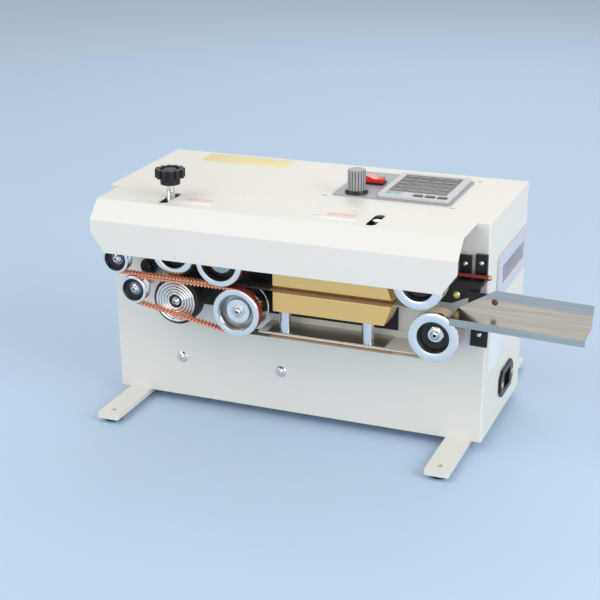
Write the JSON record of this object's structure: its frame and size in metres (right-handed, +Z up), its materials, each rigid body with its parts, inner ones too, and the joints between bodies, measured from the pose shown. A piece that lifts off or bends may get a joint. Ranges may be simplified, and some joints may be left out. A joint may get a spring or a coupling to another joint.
{
  "type": "continuous band sealer",
  "caption": "Tabletop continuous band sealer: box cabinet with folded hood, belt-driven wheels, heater blocks, pressure knob, top controls and a side infeed tray.",
  "frame": {"origin": "centre of the four bench-bolt holes, on the plane the foot pads rest on", "axes": "+X along the cabinet towards the infeed tray, +Y from the wheels to the back cover, +Z up"},
  "size_m": [0.4926, 0.298, 0.2585],
  "materials": {
    "cream_paint": "satin",
    "black_steel": "satin",
    "stainless": "brushed",
    "polished_aluminium": "polished",
    "gold_anodised": "satin anodised",
    "bright_steel": "bright",
    "plain_steel": "machined",
    "brass": "plain",
    "black_rubber": "matte",
    "black_plastic": "fine texture",
    "grey_plastic": "satin",
    "white_plastic": "satin",
    "lilac_plastic": "satin",
    "red_plastic": "gloss",
    "belt_salmon": "matte moulded",
    "seal_tape": "coated glass cloth",
    "board_green": "solder mask",
    "red_sleeve": "heat-shrunk"
  },
  "bodies": {
    "root": {"cabinet_shell": "cream_paint", "rear_cover": "cream_paint", "base_plate": "cream_paint", "foot_straps": "cream_paint", "foot_pads": "black_rubber", "hood": "cream_paint", "cabinet_screws": "bright_steel", "brass_screws": "brass", "mounting_plate": "black_steel", "shelf": "cream_paint", "heat_shield": "stainless", "block_posts": "bright_steel", "lower_block": "gold_anodised", "upper_block": "gold_anodised", "heater_cartridges": "plain_steel", "spring_bolts": "bright_steel", "block_springs": "plain_steel", "bearings": "plain_steel", "wheel_axles": "bright_steel", "upper_guide_belt": "belt_salmon", "lower_guide_belt": "belt_salmon", "upper_seal_belt": "seal_tape", "lower_seal_belt": "seal_tape", "pressure_brackets": "black_steel", "control_panel": "grey_plastic", "controller": "white_plastic", "switch_housing": "black_plastic", "potentiometer": "plain_steel", "infeed_tray": "stainless", "tray_bracket": "black_steel", "guide_bracket": "black_steel", "guide_rod": "red_sleeve", "side_handles": "lilac_plastic", "power_inlet": "black_plastic", "gear_motor": "plain_steel", "motor_bracket": "plain_steel", "circuit_board": "board_green"},
    "lower_drive": {"lower_drive_wheel": "polished_aluminium", "lower_drive_shaft": "bright_steel", "lower_drive_gear": "plain_steel"},
    "upper_drive": {"upper_drive_wheel": "polished_aluminium", "upper_drive_shaft": "bright_steel", "upper_drive_gear": "plain_steel"},
    "motor_output": {"motor_gear": "plain_steel"},
    "upper_front": {"upper_front_wheel": "polished_aluminium"},
    "lower_front": {"lower_front_wheel": "polished_aluminium"},
    "upper_tail": {"upper_tail_wheel": "polished_aluminium"},
    "lower_tail": {"lower_tail_wheel": "polished_aluminium"},
    "lower_press": {"lower_press_wheel": "polished_aluminium"},
    "upper_press": {"upper_press_wheel": "polished_aluminium"},
    "press_arm": {"press_arm": "black_steel", "press_axle": "bright_steel"},
    "pusher": {"pressure_pusher": "plain_steel"},
    "pressure_knob": {"star_knob": "black_plastic", "pressure_screw": "bright_steel"},
    "speed_knob": {"speed_knob": "grey_plastic"},
    "rocker": {"rocker": "red_plastic"},
    "key_1": {"key_1": "grey_plastic"},
    "key_2": {"key_2": "grey_plastic"},
    "key_3": {"key_3": "grey_plastic"}
  },
  "joints": [
    {"name": "lower_drive_spin", "type": "hinge", "parent": "root", "child": "lower_drive", "pos_m": [-0.0373, 0, 0.12965], "axis": [0, 1, 0], "continuous": true},
    {"name": "upper_drive_spin", "type": "hinge", "parent": "root", "child": "upper_drive", "pos_m": [-0.0544, 0, 0.17835], "axis": [0, 1, 0], "continuous": true},
    {"name": "motor_gear_spin", "type": "hinge", "parent": "root", "child": "motor_output", "pos_m": [-0.06467, 0, 0.10228], "axis": [0, 1, 0], "continuous": true},
    {"name": "upper_front_spin", "type": "hinge", "parent": "root", "child": "upper_front", "pos_m": [0.1411, 0, 0.17835], "axis": [0, 1, 0], "continuous": true},
    {"name": "lower_front_spin", "type": "hinge", "parent": "root", "child": "lower_front", "pos_m": [0.1568, 0, 0.12965], "axis": [0, 1, 0], "continuous": true},
    {"name": "upper_tail_spin", "type": "hinge", "parent": "root", "child": "upper_tail", "pos_m": [-0.1662, 0, 0.16855], "axis": [0, 1, 0], "continuous": true},
    {"name": "lower_tail_spin", "type": "hinge", "parent": "root", "child": "lower_tail", "pos_m": [-0.1476, 0, 0.13945], "axis": [0, 1, 0], "continuous": true},
    {"name": "lower_press_spin", "type": "hinge", "parent": "root", "child": "lower_press", "pos_m": [-0.1068, 0, 0.12905], "axis": [0, 1, 0], "continuous": true},
    {"name": "press_arm_swing", "type": "hinge", "parent": "root", "child": "press_arm", "pos_m": [-0.147, 0, 0.154], "axis": [0, -1, 0], "range_deg": [0, 4.2]},
    {"name": "upper_press_spin", "type": "hinge", "parent": "press_arm", "child": "upper_press", "pos_m": [-0.1075, 0, 0.17895], "axis": [0, 1, 0], "continuous": true},
    {"name": "pusher_slide", "type": "slide", "parent": "root", "child": "pusher", "axis": [0, 0, 1], "range_m": [0, 0.0025]},
    {"name": "pressure_knob_turn", "type": "hinge", "parent": "pusher", "child": "pressure_knob", "pos_m": [-0.116, -0.098, 0.24], "axis": [0, 0, 1], "range_deg": [0, 720]},
    {"name": "speed_knob_turn", "type": "hinge", "parent": "root", "child": "speed_knob", "pos_m": [0.0495, -0.027, 0.235], "axis": [0, 0, -1], "range_deg": [0, 300]},
    {"name": "rocker_tilt", "type": "hinge", "parent": "root", "child": "rocker", "pos_m": [0.055, 0.012, 0.2315], "axis": [0, -1, 0], "range_deg": [0, 14]},
    {"name": "key_1_press", "type": "slide", "parent": "root", "child": "key_1", "axis": [0, 0, -1], "range_m": [0, 0.0008], "stiffness_N_per_m": 300},
    {"name": "key_2_press", "type": "slide", "parent": "root", "child": "key_2", "axis": [0, 0, -1], "range_m": [0, 0.0008], "stiffness_N_per_m": 300},
    {"name": "key_3_press", "type": "slide", "parent": "root", "child": "key_3", "axis": [0, 0, -1], "range_m": [0, 0.0008], "stiffness_N_per_m": 300}
  ],
  "couplings": [
    {"joint": "upper_drive_spin", "follows": "lower_drive_spin", "ratio": -1},
    {"joint": "motor_gear_spin", "follows": "lower_drive_spin", "ratio": -2},
    {"joint": "lower_front_spin", "follows": "lower_drive_spin", "ratio": 1},
    {"joint": "upper_front_spin", "follows": "lower_drive_spin", "ratio": -1},
    {"joint": "lower_tail_spin", "follows": "lower_drive_spin", "ratio": 1.7424},
    {"joint": "upper_tail_spin", "follows": "lower_drive_spin", "ratio": -1.7424},
    {"joint": "lower_press_spin", "follows": "lower_drive_spin", "ratio": 1},
    {"joint": "upper_press_spin", "follows": "lower_drive_spin", "ratio": -1},
    {"joint": "pressure_knob_turn", "follows": "pusher_slide", "rad_per_m": 5026},
    {"joint": "press_arm_swing", "follows": "pusher_slide", "rad_per_m": 29.319}
  ]
}
